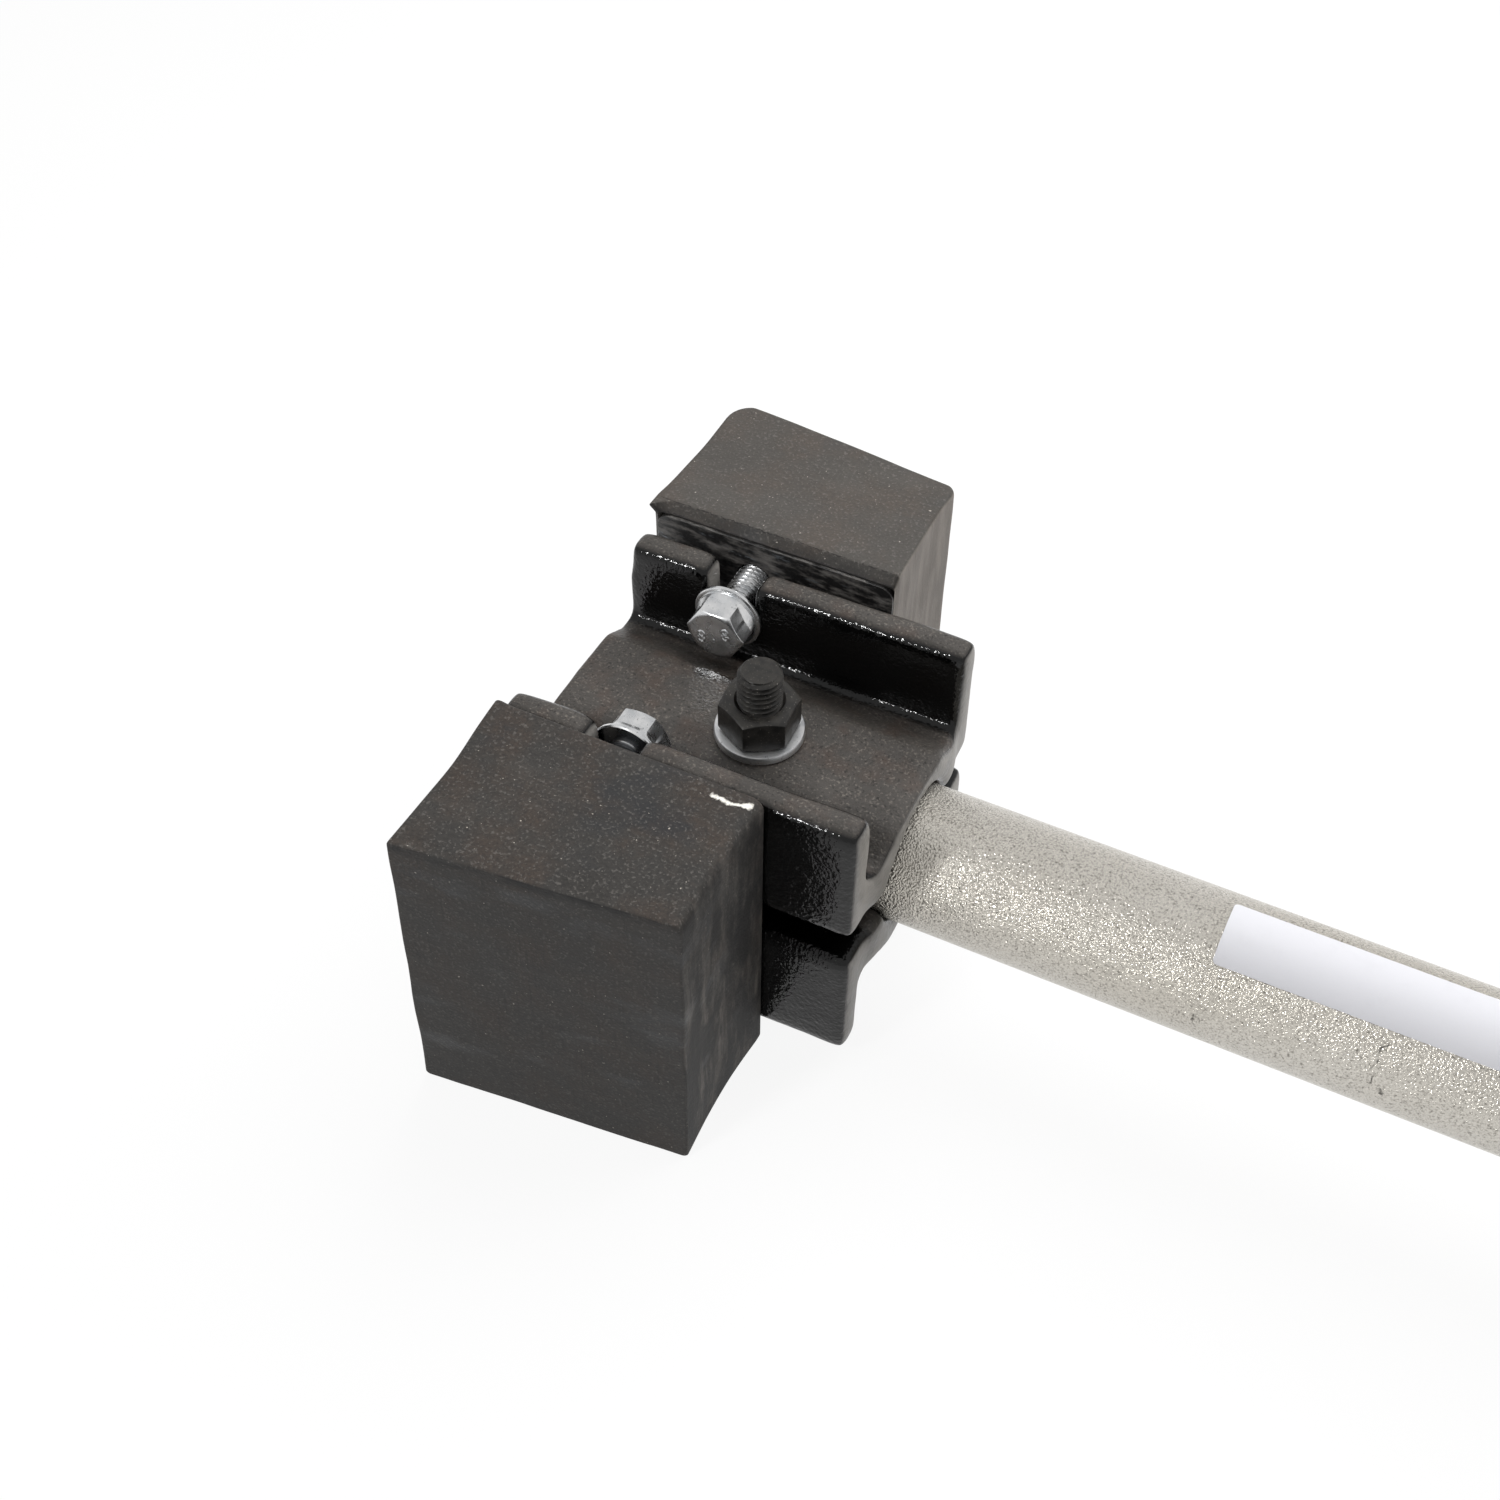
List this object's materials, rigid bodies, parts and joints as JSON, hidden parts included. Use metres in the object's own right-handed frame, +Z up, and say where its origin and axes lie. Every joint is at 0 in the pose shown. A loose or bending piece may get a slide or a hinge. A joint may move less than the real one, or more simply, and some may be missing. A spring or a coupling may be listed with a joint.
{
  "type": "straightening hammer",
  "caption": "Long-handled straightening hammer: cast clamp head gripping a tube handle, with a wedge-shaped rubber block bolted to each side.",
  "frame": {"origin": "crossing of the handle axis and the clamp bolt axis, in the middle of the head", "axes": "+X along the handle towards its free end, +Y towards the back block, +Z up along the clamp bolt towards its nut"},
  "size_m": [1.0085, 0.1875, 0.098],
  "materials": {
    "casting_paint": "gloss black paint over rough cast iron",
    "tube_coat": "grained silver coating",
    "label_film": "blank white label",
    "plug_plastic": "moulded black",
    "black_oxide": "black oxide",
    "zinc_plate": "bright zinc plating",
    "block_rubber": "moulded, dusty and scuffed",
    "plate_paint": "scratched black paint on steel",
    "raw_steel": "plain"
  },
  "bodies": {
    "head_and_handle": {"upper_casting": "casting_paint", "lower_casting": "casting_paint", "handle_tube": "tube_coat", "handle_end_plug": "plug_plastic", "head_end_plug": "plug_plastic", "handle_label": "label_film", "clamp_washer_top": "zinc_plate", "clamp_washer_bottom": "zinc_plate"},
    "clamp_bolt": {"clamp_bolt": "black_oxide"},
    "clamp_nut": {"clamp_nut": "black_oxide"},
    "front_block": {"front_rubber_block": "block_rubber", "front_backing_plate": "plate_paint", "front_weld_nut_upper": "raw_steel", "front_weld_nut_lower": "raw_steel"},
    "front_bolt_upper": {"front_bolt_upper": "zinc_plate"},
    "front_bolt_lower": {"front_bolt_lower": "zinc_plate"},
    "back_block": {"back_rubber_block": "block_rubber", "back_backing_plate": "plate_paint", "back_weld_nut_upper": "raw_steel", "back_weld_nut_lower": "raw_steel"},
    "back_bolt_upper": {"back_bolt_upper": "zinc_plate"},
    "back_bolt_lower": {"back_bolt_lower": "zinc_plate"}
  },
  "joints": [
    {"name": "clamp_bolt_turn", "type": "hinge", "parent": "head_and_handle", "child": "clamp_bolt", "pos_m": [0, 0, 0], "axis": [0, 0, -1], "range_deg": [0, 3600]},
    {"name": "clamp_nut_travel", "type": "slide", "parent": "head_and_handle", "child": "clamp_nut", "axis": [0, 0, 1], "range_m": [0, 0.0175]},
    {"name": "front_bolt_upper_turn", "type": "hinge", "parent": "head_and_handle", "child": "front_bolt_upper", "pos_m": [-0.0235, -0.0389, 0.032], "axis": [0, 1, 0], "range_deg": [0, 2880]},
    {"name": "front_bolt_lower_turn", "type": "hinge", "parent": "head_and_handle", "child": "front_bolt_lower", "pos_m": [-0.0235, -0.0389, -0.0346], "axis": [0, 1, 0], "range_deg": [0, 2880]},
    {"name": "front_block_travel", "type": "slide", "parent": "head_and_handle", "child": "front_block", "axis": [0, -1, 0], "range_m": [0, 0.012]},
    {"name": "back_bolt_upper_turn", "type": "hinge", "parent": "head_and_handle", "child": "back_bolt_upper", "pos_m": [-0.0235, 0.0389, 0.032], "axis": [0, -1, 0], "range_deg": [-1320, 1560]},
    {"name": "back_bolt_lower_turn", "type": "hinge", "parent": "head_and_handle", "child": "back_bolt_lower", "pos_m": [-0.0235, 0.0389, -0.0346], "axis": [0, -1, 0], "range_deg": [-1320, 1560]},
    {"name": "back_block_travel", "type": "slide", "parent": "head_and_handle", "child": "back_block", "axis": [0, 1, 0], "range_m": [-0.0055, 0.0065]}
  ],
  "couplings": [
    {"joint": "clamp_nut_travel", "follows": "clamp_bolt_turn", "m_per_rad": 0.00027852},
    {"joint": "front_bolt_upper_turn", "follows": "front_block_travel", "rad_per_m": 4188.8},
    {"joint": "front_bolt_lower_turn", "follows": "front_block_travel", "rad_per_m": 4188.8},
    {"joint": "back_bolt_upper_turn", "follows": "back_block_travel", "rad_per_m": 4188.8},
    {"joint": "back_bolt_lower_turn", "follows": "back_block_travel", "rad_per_m": 4188.8}
  ]
}
